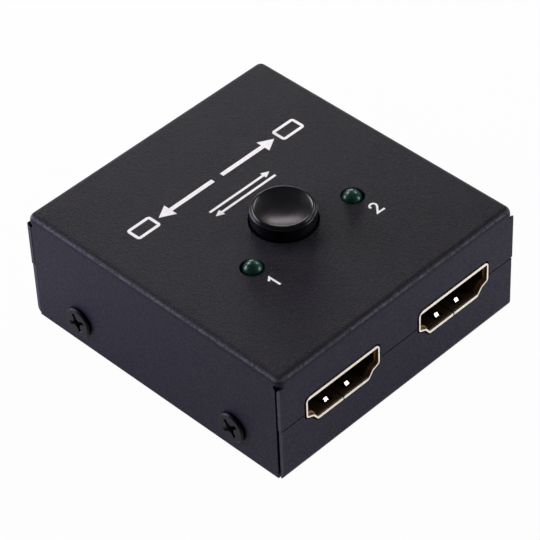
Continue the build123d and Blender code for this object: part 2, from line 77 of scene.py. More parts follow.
Tree = bpy.types.NodeTree
Socket = bpy.types.NodeSocket
Shape = bmesh.types.BMesh
Colour = tuple[float, float, float, float]
Point = tuple[float, float]
# radius, height and rounding of one corner of a turned profile, in millimetres
Corner = tuple[float, float, float]


class Body(Enum):
    """Moving bodies of the box, as the frame names them."""

    CASE = "case"
    BUTTON = "button"


class Slot(Enum):
    """Material slots that a piece's finish stands for, as the part names them."""

    CASE_PAINT = "case_paint"
    SCREW_BLACK = "screw_black"
    GOLD_PLATE = "gold_plate"
    BUTTON_PLASTIC = "button_plastic"
    LAMP_RESIN = "lamp_resin"
    SPRING_WIRE = "spring_wire"


class Axis(Enum):
    """Axes along which a plated face can look out of the box."""

    X = "X"
    Y = "Y"


class Side(Enum):
    """Sides of the case that have sockets, with the way that each looks along Y."""

    FRONT = -1
    BACK = 1


class SubAssembly(Protocol):
    """Anything that main builds."""

    def build(self) -> None:
        """Make what belongs to it, finished and in its place."""


def linear(tone: str) -> Colour:
    """Turn an sRGB hex value into the linear colour of a shader socket.

    Args:
        tone: colour as "#rrggbb".

    Returns:
        Linear red, green, blue and an alpha of one.
    """
    parts = [int(tone[place:place + 2], 16) / 255 for place in (1, 3, 5)]
    red, green, blue = (
        part / 12.92 if part <= 0.04045 else ((part + 0.055) / 1.055) ** 2.4 for part in parts
    )
    return red, green, blue, 1.0


def add_node(
    tree: Tree,
    kind: str,
    settings: dict[str | int, object] | None = None,
    links: dict[str | int, Socket] | None = None,
) -> bpy.types.Node:
    """Add one node with its settings and its incoming links.

    Args:
        tree: node tree that gets the node.
        kind: node type without its "ShaderNode" prefix.
        settings: values by the name of a node property, or the name or number of an input.
        links: sockets to join to inputs, by the input's name or number.

    Returns:
        The new node.
    """
    node = tree.nodes.new(f"ShaderNode{kind}")
    for name, value in (settings or {}).items():
        if isinstance(name, str) and name in node.bl_rna.properties:
            setattr(node, name, value)
        else:
            node.inputs[name].default_value = value
    for name, source in (links or {}).items():
        tree.links.new(source, node.inputs[name])
    return node


def blend_tones(tree: Tree, factor: Socket, low: Colour | Socket, high: Colour | Socket) -> Socket:
    """Blend two colours, each given as a linear colour or as a socket.

    Args:
        tree: node tree that gets the node.
        factor: how far the blend goes from low to high.
        low: colour at zero.
        high: colour at one.

    Returns:
        The blended colour's socket.
    """
    settings: dict[str | int, object] = {"data_type": "RGBA"}
    links: dict[str | int, Socket] = {0: factor}
    # inputs 6 and 7 of a Mix node, and its output 2, are the ones for colours
    for place, tone in ((6, low), (7, high)):
        if isinstance(tone, Socket):
            links[place] = tone
        else:
            settings[place] = tone
    return add_node(tree, "Mix", settings, links).outputs[2]


@dataclass(frozen=True)
class Finish:
    """What one real material gives the eye.

    The tone varies towards the shade over grains of a real size, the roughness varies with them, and
    a finer relief breaks up the highlights.
    """

    # colours are sRGB hex values, and grain, relief and relief_grain are millimetres
    name: str
    tone: str
    shade: str
    grain: float
    relief: float
    relief_grain: float
    roughness: float
    roughness_spread: float
    metallic: float = 0.0
    ior: float = 1.5
    specular: float = 0.5
    coat: float = 0.0
    coat_roughness: float = 0.08

    def material(self) -> bpy.types.Material:
        """Give the finish's material, which is made once.

        Returns:
            The material, new or from the first call.
        """
        made = bpy.data.materials.get(self.name)
        if made is None:
            made = bpy.data.materials.new(self.name)
            made.use_nodes = True
            made.node_tree.nodes.clear()
            self.paint(made.node_tree)
        return made

    def paint(self, tree: Tree) -> bpy.types.Node:
        """Fill the material's tree.

        Args:
            tree: empty node tree of the material.

        Returns:
            The shader node, for a finish that adds to it.
        """
        place = add_node(tree, "TexCoord").outputs["Object"]
        shader = add_node(tree, "BsdfPrincipled", {
            "Metallic": self.metallic, "Specular IOR Level": self.specular,
            "Coat Weight": self.coat, "Coat Roughness": self.coat_roughness,
        })
        if not self.metallic:
            shader.inputs["IOR"].default_value = self.ior
        add_node(tree, "OutputMaterial", links={"Surface": shader.outputs["BSDF"]})
        patches = self.grains(tree, place, self.grain)
        tree.links.new(self.colour(tree, place, patches), shader.inputs["Base Color"])
        rough = add_node(tree, "MapRange", {
            "To Min": self.roughness - self.roughness_spread,
            "To Max": self.roughness + self.roughness_spread,
        }, {"Value": patches})
        tree.links.new(rough.outputs["Result"], shader.inputs["Roughness"])
        bump = add_node(
            tree, "Bump", {"Strength": 1.0, "Distance": self.relief * MM},
            {"Height": self.height(tree, place)},
        )
        tree.links.new(bump.outputs["Normal"], shader.inputs["Normal"])
        return shader

    def colour(self, tree: Tree, place: Socket, patches: Socket) -> Socket:
        """Blend the shade and the tone over the grains."""
        return blend_tones(tree, patches, linear(self.shade), linear(self.tone))

    def height(self, tree: Tree, place: Socket) -> Socket:
        """Give the fine relief's height, from zero to one."""
        return self.grains(tree, place, self.relief_grain)

    @staticmethod
    def grains(tree: Tree, place: Socket, size: float) -> Socket:
        """Make noise whose grains have a real size.

        Args:
            tree: node tree that gets the nodes.
            place: coordinates at which the noise is read.
            size: size of a grain in millimetres.

        Returns:
            Noise from zero to one.
        """
        noise = add_node(
            tree, "TexNoise",
            {"Scale": 1 / (size * MM), "Detail": GRAIN_DETAIL, "Roughness": GRAIN_FALLOFF},
            {"Vector": place},
        )
        low, high = GRAIN_RANGE
        return add_node(
            tree, "MapRange", {"From Min": low, "From Max": high}, {"Value": noise.outputs["Fac"]}
        ).outputs["Result"]

    @staticmethod
    def facing(tree: Tree) -> bpy.types.bpy_prop_collection:
        """Give X, Y and Z of the direction that the surface faces."""
        normal = add_node(tree, "NewGeometry").outputs["Normal"]
        return add_node(tree, "SeparateXYZ", links={0: normal}).outputs


@dataclass(frozen=True)
class PowderCoat(Finish):
    """Baked powder on folded sheet: a dense orange peel, painted shade on upright faces, and a pale tone
    on bends and cut ends that is partly thinner film and partly painted highlight.
    """

    # upright faces: their tone, painted darker and more violet than the top as shade, and the share of
    # the peel's relief that they keep
    upright: str = "#181529"
    upright_share: float = 0.05
    # part of the grains' height over which the shade turns to the tone
    crests: tuple[float, float] = (0.5, 1.0)
    # pale bend marks, partly rubbed film and partly painted highlight: their tone, the rise and spread of
    # the bends that have them, their grain and least share
    rub_and_highlight: str = "#6e6c73"
    rub_and_highlight_rise: float = 0.6
    rub_and_highlight_spread: float = 0.25
    rub_and_highlight_grain: float = 0.5
    rub_and_highlight_least: float = 0.2
    # cut ends of the flaps: how far out, how far they face sideways, and how much of the pale tone (thin
    # film and painted highlight) they show
    cut_edge: float = 25.15
    cut_turn: tuple[float, float] = (0.8, 0.95)
    cut_share: float = 0.3

    def colour(self, tree: Tree, place: Socket, patches: Socket) -> Socket:
        """Give upright faces a flat painted shade, and the bends and the flaps' cut ends a pale tone of
        thin film and painted highlight.

        Args:
            tree: node tree that gets the nodes.
            place: object coordinates.
            patches: grains from zero to one.

        Returns:
            The coat's colour.
        """
        facing = self.facing(tree)
        low, high = self.crests
        crests = add_node(tree, "MapRange", {"From Min": low, "From Max": high}, {"Value": patches})
        # upright faces take the flat upright tone in place of the mottle: painted shade
        base = blend_tones(
            tree, add_node(tree, "MapRange", links={"Value": facing["Z"]}).outputs["Result"],
            linear(self.upright), super().colour(tree, place, crests.outputs["Result"]),
        )
        # pale tone on bends and cut ends: partly thin film, partly painted highlight
        pale_share = add_node(
            tree, "Math", {"operation": "MAXIMUM"},
            {0: self.bends(tree, place, facing["Z"]), 1: self.cut_ends(tree, place, facing["X"])},
        )
        return blend_tones(tree, pale_share.outputs[0], base, linear(self.rub_and_highlight))

    def bends(self, tree: Tree, place: Socket, rise: Socket) -> Socket:
        """Find the pale marks on the bends: rubbed film and a painted highlight.

        Args:
            tree: node tree that gets the nodes.
            place: object coordinates.
            rise: how far the surface faces up.

        Returns:
            Share of the pale tone, in patches and greatest where the rise is that of a bend's middle,
            which catches the light.
        """
        off = add_node(tree, "Math", {"operation": "SUBTRACT", 1: self.rub_and_highlight_rise}, {0: rise})
        apart = add_node(tree, "Math", {"operation": "ABSOLUTE"}, {0: off.outputs[0]})
        bend = add_node(
            tree, "MapRange", {"From Min": self.rub_and_highlight_spread, "From Max": 0.0},
            {"Value": apart.outputs[0]},
        )
        patchy = add_node(
            tree, "MapRange", {"To Min": self.rub_and_highlight_least, "To Max": 1.0},
            {"Value": self.grains(tree, place, self.rub_and_highlight_grain)},
        )
        return add_node(
            tree, "Math", {"operation": "MULTIPLY"},
            {0: bend.outputs["Result"], 1: patchy.outputs["Result"]},
        ).outputs[0]

    def cut_ends(self, tree: Tree, place: Socket, sideways: Socket) -> Socket:
        """Find the thin film on the flaps' cut ends, painted lighter as a highlight.

        Args:
            tree: node tree that gets the nodes.
            place: object coordinates.
            sideways: how far the surface faces along X.

        Returns:
            Share of the pale tone on surfaces far out along Y that face sideways.
        """
        along = add_node(tree, "SeparateXYZ", links={0: place}).outputs["Y"]
        outward = add_node(tree, "Math", {"operation": "ABSOLUTE"}, {0: along})
        past = add_node(
            tree, "Math", {"operation": "GREATER_THAN", 1: self.cut_edge * MM}, {0: outward.outputs[0]}
        )
        aside = add_node(tree, "Math", {"operation": "ABSOLUTE"}, {0: sideways})
        low, high = self.cut_turn
        share = add_node(
            tree, "MapRange", {"From Min": low, "From Max": high, "To Max": self.cut_share},
            {"Value": aside.outputs[0]},
        )
        return add_node(
            tree, "Math", {"operation": "MULTIPLY"}, {0: past.outputs[0], 1: share.outputs["Result"]}
        ).outputs[0]

    def height(self, tree: Tree, place: Socket) -> Socket:
        """Settle the peel on surfaces that lay flat in the oven, and flow it out on upright ones.

        Args:
            tree: node tree that gets the nodes.
            place: object coordinates.

        Returns:
            The relief's height.
        """
        share = add_node(
            tree, "MapRange", {"To Min": self.upright_share, "To Max": 1.0},
            {"Value": self.facing(tree)["Z"]},
        )
        return add_node(
            tree, "Math", {"operation": "MULTIPLY"},
            {0: super().height(tree, place), 1: share.outputs["Result"]},
        ).outputs[0]


@dataclass(frozen=True)
class PlatingWithPaintedShade(Finish):
    """Plating bright on its outer face, with painted shade behind it that darkens further in its depth.
    """

    # the outer face: its axis and distance from the middle of the case
    axis: Axis = Axis.Y
    face: float = 25.87
    # depths below it at which painted shade dims the plating and then darkens it, with the shade's two
    # tones
    fade: float = 0.14
    reach: float = 1.3
    shaded_tone: str = "#8a6a48"
    depth: str = "#1c140c"
    # rise from which a surface is a floor, and how much deeper a floor keeps the bright tone
    floor_rise: float = 0.5
    floor_bright_depth: float = 0.0

    def colour(self, tree: Tree, place: Socket, patches: Socket) -> Socket:
        """Paint shade onto the metal from its outer face inwards, starting deeper on floors.

        Args:
            tree: node tree that gets the nodes.
            place: object coordinates.
            patches: grains from zero to one.

        Returns:
            The plating's colour.
        """
        base = super().colour(tree, place, patches)
        along = add_node(tree, "SeparateXYZ", links={0: place}).outputs[self.axis.value]
        distance = add_node(tree, "Math", {"operation": "ABSOLUTE"}, {0: along})
        floor_bright_extra = add_node(
            tree, "MapRange", {"From Min": self.floor_rise, "To Max": self.floor_bright_depth * MM},
            {"Value": self.facing(tree)["Z"]},
        )
        outward = add_node(
            tree, "Math", {"operation": "ADD"}, {0: distance.outputs[0], 1: floor_bright_extra.outputs["Result"]}
        )
        bright = self.face - self.fade
        shares = [
            add_node(
                tree, "MapRange",
                {"From Min": low * MM, "From Max": high * MM, "interpolation_type": "SMOOTHSTEP"},
                {"Value": outward.outputs[0]},
            ).outputs["Result"]
            for low, high in ((self.face - self.reach, bright), (bright, self.face))
        ]
        # painted shade inside the plating, darkest in its depth
        behind = blend_tones(tree, shares[0], linear(self.depth), linear(self.shaded_tone))
        return blend_tones(tree, shares[1], behind, base)


@dataclass(frozen=True)
class CastResin(Finish):
    """Epoxy cast in a polished mould and tinted through: clear, so what it holds shows darkly."""

    clearness: float = 0.7

    def paint(self, tree: Tree) -> bpy.types.Node:
        """Let part of the light through the tinted body.

        Args:
            tree: empty node tree of the material.

        Returns:
            The shader node.
        """
        shader = super().paint(tree)
        shader.inputs["Transmission Weight"].default_value = self.clearness
        return shader


POWDER = PowderCoat(
    # black polyester powder, baked: satin with a fine orange peel
    "powder_coated_steel", "#322d3e", "#010102", grain=0.27, relief=0.19, relief_grain=0.24,
    roughness=0.5, roughness_spread=0.12, specular=0.16,
)
BLACK_ZINC = PlatingWithPaintedShade(
    # zinc passivated black: soft sheen over a dark film, with painted shade in the recess and on the
    # head's side
    "black_zinc_steel", "#211f28", "#17151c", grain=0.4, relief=0.003, relief_grain=0.2,
    roughness=0.42, roughness_spread=0.08, specular=0.12, axis=Axis.X, face=25.05, fade=0.09,
    reach=0.5, shaded_tone="#08080a", depth="#040405",
)
GOLD = PlatingWithPaintedShade(
    # gold flash on bright nickel: pale, with the soft sheen of rolled strip and painted shade inside the
    # shell
    "gold_flashed_phosphor_bronze", "#fff6ec", "#f0e4d2", grain=0.6, relief=0.001, relief_grain=0.2,
    roughness=0.42, roughness_spread=0.05, metallic=1.0, shaded_tone="#a2845f", depth="#6e5a42",
    floor_bright_depth=0.24,
)
FINGER_GOLD = Finish(
    # the finger's crest, burnished by plugs: a small bright spot
    "burnished_gold", "#f4ecda", "#e4d8bc", grain=0.3, relief=0.001, relief_grain=0.1,
    roughness=0.3, roughness_spread=0.04, metallic=1.0,
)
CONTACT_GOLD = Finish(
    # hard gold over nickel on the contacts: deeper yellow, quietly bright
    "hard_gold_contacts", "#d8b46a", "#a88445", grain=0.3, relief=0.001, relief_grain=0.1,
    roughness=0.3, roughness_spread=0.05, metallic=1.0,
)
SOCKET_NYLON = Finish(
    # glass-filled nylon, moulded: dull black with a faint flow grain
    "glass_filled_nylon", "#1a1510", "#110e0b", grain=0.5, relief=0.003, relief_grain=0.08,
    roughness=0.55, roughness_spread=0.1, ior=1.53, specular=0.3,
)
CAP_ABS = Finish(
    # ABS moulded in a polished tool: deep black gloss, finest haze
    "polished_abs", "#0a090c", "#08070a", grain=1.6, relief=0.0002, relief_grain=0.5,
    roughness=0.2, roughness_spread=0.02, ior=1.53, specular=0.3,
)
SWITCH_PBT = Finish(
    # PBT switch body: dull black, moulded
    "moulded_pbt", "#151516", "#0e0e0f", grain=0.6, relief=0.003, relief_grain=0.1,
    roughness=0.5, roughness_spread=0.08, ior=1.55,
)
STEM_ACETAL = Finish(
    # natural acetal: off-white, waxy
    "natural_acetal", "#d9d7cf", "#c6c3b8", grain=0.8, relief=0.002, relief_grain=0.15,
    roughness=0.38, roughness_spread=0.06, ior=1.48,
)
LAMP_RESIN = CastResin(
    # green-tinted epoxy, unlit: dark and glassy, with its leads in its depth
    "green_epoxy", "#0b5a3c", "#08422c", grain=0.8, relief=0.0002, relief_grain=0.6,
    roughness=0.27, roughness_spread=0.02, ior=1.5, specular=0.16, clearness=0.5,
)
TINNED = Finish(
    # hot-tinned copper: bright grey with a crystalline bloom
    "tinned_copper", "#c9c8c4", "#a3a29e", grain=0.35, relief=0.002, relief_grain=0.1,
    roughness=0.34, roughness_spread=0.08, metallic=1.0,
)
SPRING_STEEL = Finish(
    # drawn spring wire: grey with die lines
    "drawn_spring_steel", "#8d8e90", "#6f7072", grain=0.2, relief=0.001, relief_grain=0.05,
    roughness=0.32, roughness_spread=0.06, metallic=1.0,
)
BRASS = Finish(
    # turned brass: warm yellow with tool rings
    "turned_brass", "#d6b46a", "#b18d45", grain=0.4, relief=0.002, relief_grain=0.12,
    roughness=0.3, roughness_spread=0.07, metallic=1.0,
)
NICKEL = Finish(
    # nickel-plated steel screws: bright grey, a little warm
    "nickel_plated_steel", "#c4c2bd", "#a4a29c", grain=0.4, relief=0.002, relief_grain=0.1,
    roughness=0.28, roughness_spread=0.06, metallic=1.0,
)
SOLDER_MASK = Finish(
    # green epoxy mask over glass cloth: the weave shows as a soft grain
    "solder_mask", "#0c2819", "#091e12", grain=0.5, relief=0.006, relief_grain=0.45,
    roughness=0.36, roughness_spread=0.08, ior=1.52, coat=0.2,
)
CHIP_EPOXY = Finish(
    # filled moulding compound: charcoal, matt
    "chip_moulding_compound", "#1e1e20", "#141415", grain=0.25, relief=0.005, relief_grain=0.08,
    roughness=0.6, roughness_spread=0.08,
)
RESISTOR_GLAZE = Finish(
    # black glazed resistor body: dark with a soft shine
    "resistor_glaze", "#17171b", "#0f0f12", grain=0.3, relief=0.003, relief_grain=0.08,
    roughness=0.35, roughness_spread=0.06,
)
CAPACITOR_CERAMIC = Finish(
    # fired barium titanate: tan and matt
    "barium_titanate_ceramic", "#a58360", "#8a6a4b", grain=0.25, relief=0.003, relief_grain=0.06,
    roughness=0.5, roughness_spread=0.06,
)
SCREEN_INK = Finish(
    # white screen-printing ink, two thin passes: the powder's peel shows through it
    "screen_printed_ink", "#fcfbf8", "#ebeae7", grain=0.35, relief=0.012, relief_grain=0.3,
    roughness=0.55, roughness_spread=0.08, specular=0.3,
)


@dataclass
class Piece:
    """One finished piece: its name, what it rides on, what it stands for and how its edges are."""

    name: str
    finish: Finish
    body: Body
    slot: Slot
    replaces: tuple[str, ...] = ()
    # width of the broken edges, none where the shape is soft already
    edge: float = 0.0
    edge_segments: int = 3
    # how much more a large face counts than a small one where their normals meet
    flatness: int = 90

    def finish_mesh(self, shape: Shape) -> bpy.types.Object:
        """Make the piece's object from a shape whose place is in its vertices.

        Args:
            shape: the piece's mesh, freed here.

        Returns:
            The piece, smoothed, dressed and riding on its body.
        """
        bmesh.ops.remove_doubles(shape, verts=shape.verts, dist=PIECE_WELD * MM)
        bmesh.ops.recalc_face_normals(shape, faces=shape.faces)
        mesh = bpy.data.meshes.new(self.name)
        shape.to_mesh(mesh)
        shape.free()
        mesh.shade_smooth()
        mesh.set_sharp_from_angle(angle=SHARP_ANGLE)
        mesh.materials.append(self.finish.material())
        piece = bpy.data.objects.new(self.name, mesh)
        bpy.context.scene.collection.objects.link(piece)
        if self.edge:
            self.round_edges(piece)
            self.level_faces(piece)
        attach(piece, self.body.value)
        if self.replaces:
            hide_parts(*self.replaces)
        LOG.info("%s: %d faces, rides on %s", self.name, len(mesh.polygons), self.body.value)
        return piece

    def round_edges(self, piece: bpy.types.Object) -> None:
        """Break the piece's sharp edges to a small radius.

        Args:
            piece: object that gets the bevel.
        """
        bevel = piece.modifiers.new("broken_edges", "BEVEL")
        bevel.width = self.edge * MM
        bevel.segments = self.edge_segments
        bevel.limit_method = "ANGLE"
        bevel.angle_limit = SHARP_ANGLE
        bevel.harden_normals = True

    def level_faces(self, piece: bpy.types.Object) -> None:
        """Keep large faces flat to the eye up to their rounded edges.

        Args:
            piece: object that gets the weighted normals.
        """
        levelled = piece.modifiers.new("level_faces", "WEIGHTED_NORMAL")
        levelled.mode = "FACE_AREA"
        levelled.weight = self.flatness
        levelled.keep_sharp = True


def solid_copy(node: str) -> Shape:
    """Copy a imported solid's mesh, its loose triangles merged and its flat faces made whole.

    Args:
        node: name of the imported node.

    Returns:
        A bmesh of the node, for the caller to finish.
    """
    shape = bmesh.new()
    shape.from_mesh(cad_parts[node].data)
    bmesh.ops.remove_doubles(shape, verts=shape.verts, dist=SHAPE_WELD * MM)
    bmesh.ops.dissolve_limit(shape, angle_limit=FLAT_ANGLE, verts=shape.verts, edges=shape.edges)
    return shape


def dress(node: str, finish: Finish) -> None:
    """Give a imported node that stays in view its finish.

    Args:
        node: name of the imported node.
        finish: what its surface is.
    """
    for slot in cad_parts[node].material_slots:
        slot.link = "OBJECT"
        slot.material = finish.material()
    LOG.info("%s: dressed in %s", node, finish.name)


def node_middle(node: str) -> Vector:
    """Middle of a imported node's box, in metres."""
    low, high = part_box(node)
    return (low + high) / 2


def turned(corners: Sequence[Corner], steps: int = 96) -> Shape:
    """Spin a profile about Z.

    Args:
        corners: the profile's corners, from axis to axis.
        steps: faces round the piece.

    Returns:
        A closed bmesh standing on the Z axis.
    """
    shape = bmesh.new()
    points = [shape.verts.new((radius * MM, 0, height * MM)) for radius, height, _ in corners]
    for first, second in zip(points, points[1:]):
        shape.edges.new((first, second))
    for point, (_, _, rounding) in zip(points, corners):
        if rounding:
            bmesh.ops.bevel(
                shape, geom=[point], offset=rounding * MM, offset_type="OFFSET",
                segments=CORNER_SEGMENTS, profile=0.5, affect="VERTICES", material=-1,
            )
    bmesh.ops.spin(
        shape, geom=shape.verts[:] + shape.edges[:], cent=(0, 0, 0), axis=(0, 0, 1), dvec=(0, 0, 0),
        angle=math.tau, steps=steps, use_merge=True, use_duplicate=False,
    )
    bmesh.ops.remove_doubles(shape, verts=shape.verts, dist=SHAPE_WELD * MM)
    return shape


@dataclass
class SheetCase:
    """Folded cover and tray, with the edges that shears and press tools leave."""

    edge: float = 0.09

    def build(self) -> None:
        """Copy both panels with broken edges and a powder coat."""
        for node in ("top_cover", "bottom_tray"):
            Piece(
                f"{node}_panel", POWDER, Body.CASE, Slot.CASE_PAINT, (node,), self.edge
            ).finish_mesh(solid_copy(node))


@dataclass
class SideScrews:
    """Pan-head screws of the side flaps, their heads and recesses softly rounded by the plating."""

    edge: float = 0.04

    def build(self) -> None:
        """Copy the four screws with rounded edges."""
        Piece(
            "side_screw_set", BLACK_ZINC, Body.CASE, Slot.SCREW_BLACK, ("side_screws",), self.edge
        ).finish_mesh(solid_copy("side_screws"))


@dataclass
class VideoSocket:
    """One keyed socket: gilt shell, black insulator, contacts and the burnished finger pads."""

    name: str
    side: Side
    edge: float = 0.07
    # the pads: their size, and their place from the insulator's middle and the mouth
    pad_width: float = 0.7
    pad_length: float = 0.64
    pad_thickness: float = 0.06
    pad_edge: float = 0.02
    pad_offset: float = 2.15
    pad_depth: float = 1.5
    pad_drop: float = 2.17
    pad_slope: float = 48.0

    def build(self) -> None:
        """Make the shell and the pads, and dress what lies behind them."""
        shell = f"{self.name}_shell"
        Piece(
            f"{self.name}_gilt_shell", GOLD, Body.CASE, Slot.GOLD_PLATE, (shell,), self.edge
        ).finish_mesh(solid_copy(shell))
        dress(f"{self.name}_insulator", SOCKET_NYLON)
        dress(f"{self.name}_contacts", CONTACT_GOLD)
        self.build_pads()

    def build_pads(self) -> None:
        """Lay a small burnished pad on each of the two lower fingers' crests."""
        low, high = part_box(f"{self.name}_shell")
        mouth = low.y if self.side is Side.FRONT else high.y
        outward = self.side.value
        middle = node_middle(f"{self.name}_insulator")
        scale = Matrix.Diagonal((
            self.pad_width * MM, self.pad_length * MM, self.pad_thickness * MM, 1.0
        ))
        slope = Matrix.Rotation(math.radians(-outward * self.pad_slope), 4, "X")
        pads = bmesh.new()
        for hand in (-1, 1):
            made = bmesh.ops.create_cube(pads, size=1.0)["verts"]
            place = Matrix.Translation((
                middle.x + hand * self.pad_offset * MM,
                mouth - outward * self.pad_depth * MM,
                middle.z - self.pad_drop * MM,
            ))
            bmesh.ops.transform(pads, matrix=place @ slope @ scale, verts=made)
        Piece(
            f"{self.name}_finger_pads", FINGER_GOLD, Body.CASE, Slot.GOLD_PLATE, (), self.pad_edge
        ).finish_mesh(pads)


@dataclass
class PushButton:
    """Glossy cap: a dish inside a beaded rim, a small step and a plain skirt with a soft shoulder."""

    dish_radius: float = 4.2
    dish_depth: float = 0.5
    dish_rings: int = 10
    dish_rounding: float = 0.05
    bead_drop: float = 0.06
    bead_rounding: float = 0.2
    rim_radius: float = 4.65
    step_drop: float = 0.35
    step_rounding: float = 0.04
    skirt_radius: float = 4.97
    shoulder_rounding: float = 0.15
    edge_rounding: float = 0.1
    wall: float = 1.0
    roof: float = 1.3
    roof_rounding: float = 0.2
    boss_radius: float = 2.9

    def build(self) -> None:
        """Turn the cap and dress the plunger below it."""
        low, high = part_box("button_cap")
        base, top = low.z / MM, high.z / MM
        cap = turned(self.dish(top) + self.outside(top, base) + self.inside(top, base))
        middle = node_middle("button_cap")
        bmesh.ops.translate(cap, vec=(middle.x, middle.y, 0), verts=cap.verts)
        Piece(
            "push_button_cap", CAP_ABS, Body.BUTTON, Slot.BUTTON_PLASTIC, ("button_cap",)
        ).finish_mesh(cap)
        dress("switch_plunger", STEM_ACETAL)

    def dish(self, top: float) -> list[Corner]:
        """Draw the dish as a shallow bowl.

        Args:
            top: height of the cap's top.

        Returns:
            Corners from the dish's middle to its edge.
        """
        rim = top - self.bead_drop
        corners = []
        for ring in range(self.dish_rings):
            radius = self.dish_radius * ring / self.dish_rings
            depth = (self.dish_depth - self.bead_drop) * (1 - (radius / self.dish_radius) ** 2)
            corners.append((radius, rim - depth, 0.0))
        return corners + [(self.dish_radius, rim, self.dish_rounding)]

    def outside(self, top: float, base: float) -> list[Corner]:
        """Draw the beaded rim, the step, the shoulder and the skirt.

        Args:
            top: height of the cap's top.
            base: height of the skirt's foot.

        Returns:
            Corners from the rim to the skirt's foot.
        """
        step = top - self.step_drop
        bead = self.bead_rounding / 2
        return [
            (self.dish_radius + bead, top, bead),
            (self.rim_radius, top, self.bead_rounding),
            (self.rim_radius, step, self.step_rounding),
            (self.skirt_radius, step, self.shoulder_rounding),
            (self.skirt_radius, base, self.edge_rounding),
        ]

    def inside(self, top: float, base: float) -> list[Corner]:
        """Draw the hollow under the roof, with the boss that takes the stem.

        Args:
            top: height of the cap's top.
            base: height of the skirt's foot.

        Returns:
            Corners from the skirt's inner foot to the axis.
        """
        roof = top - self.dish_depth - self.roof
        hollow = self.skirt_radius - self.wall
        return [
            (hollow, base, self.edge_rounding),
            (hollow, roof, self.roof_rounding),
            (self.boss_radius, roof, self.edge_rounding),
            (self.boss_radius, base, self.edge_rounding),
            (0.0, base, 0.0),
        ]


@dataclass
class IndicatorLamp:
    """Round-headed lamp: a polished resin body over its two leads."""

    number: int
    radius: float = 1.5
    flange_radius: float = 1.9
    flange_height: float = 1.0
    flange_rounding: float = 0.1
    neck_rounding: float = 0.05
    dome_rings: int = 14
    steps: int = 64

    def build(self) -> None:
        """Turn the lens and dress the leads inside it."""
        node = f"lamp_{self.number}_lens"
        low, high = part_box(node)
        lens = turned(self.profile(low.z / MM, high.z / MM), self.steps)
        leads = node_middle(f"lamp_{self.number}_leads")
        bmesh.ops.translate(lens, vec=(leads.x, leads.y, 0), verts=lens.verts)
        Piece(
            f"lamp_{self.number}_dome", LAMP_RESIN, Body.CASE, Slot.LAMP_RESIN, (node,)
        ).finish_mesh(lens)
        dress(f"lamp_{self.number}_leads", TINNED)

    def profile(self, base: float, top: float) -> list[Corner]:
        """Draw the lens: a flange at its foot and a ball at its top.

        Args:
            base: height of the lens's foot.
            top: height of the dome's top.

        Returns:
            Corners from the foot to the top of the axis.
        """
        middle = top - self.radius
        shoulder = base + self.flange_height
        corners = [
            (0.0, base, 0.0),
            (self.flange_radius, base, self.flange_rounding),
            (self.flange_radius, shoulder, self.flange_rounding),
            (self.radius, shoulder, self.neck_rounding),
        ]
        for ring in range(self.dome_rings + 1):
            angle = math.pi / 2 * ring / self.dome_rings
            corners.append((self.radius * math.cos(angle), middle + self.radius * math.sin(angle), 0.0))
        return corners


@dataclass
class ReturnSpring:
    """Wound wire between the switch's foot and its plunger, which shortens as the button goes down."""

    travel: float = 2.0

    def build(self) -> None:
        """Copy the wire and give the copy a mesh of its own."""
        spring = Piece(
            "return_spring", SPRING_STEEL, Body.CASE, Slot.SPRING_WIRE, ("switch_spring",)
        ).finish_mesh(solid_copy("switch_spring"))
        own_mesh(spring)


@dataclass
class Works:
    """Everything on the board inside the case, dressed as it is packed."""

    finishes: tuple[tuple[str, Finish], ...] = (
        ("circuit_board", SOLDER_MASK),
        ("board_standoffs", BRASS),
        ("board_screws", NICKEL),
        ("switch_housing", SWITCH_PBT),
        ("switch_plinth", SWITCH_PBT),
        ("switch_terminals", TINNED),
        ("switching_chips", CHIP_EPOXY),
        ("chip_leads", TINNED),
        ("resistors", RESISTOR_GLAZE),
        ("capacitors", CAPACITOR_CERAMIC),
    )

    def build(self) -> None:
        """Dress each node."""
        for node, finish in self.finishes:
            dress(node, finish)


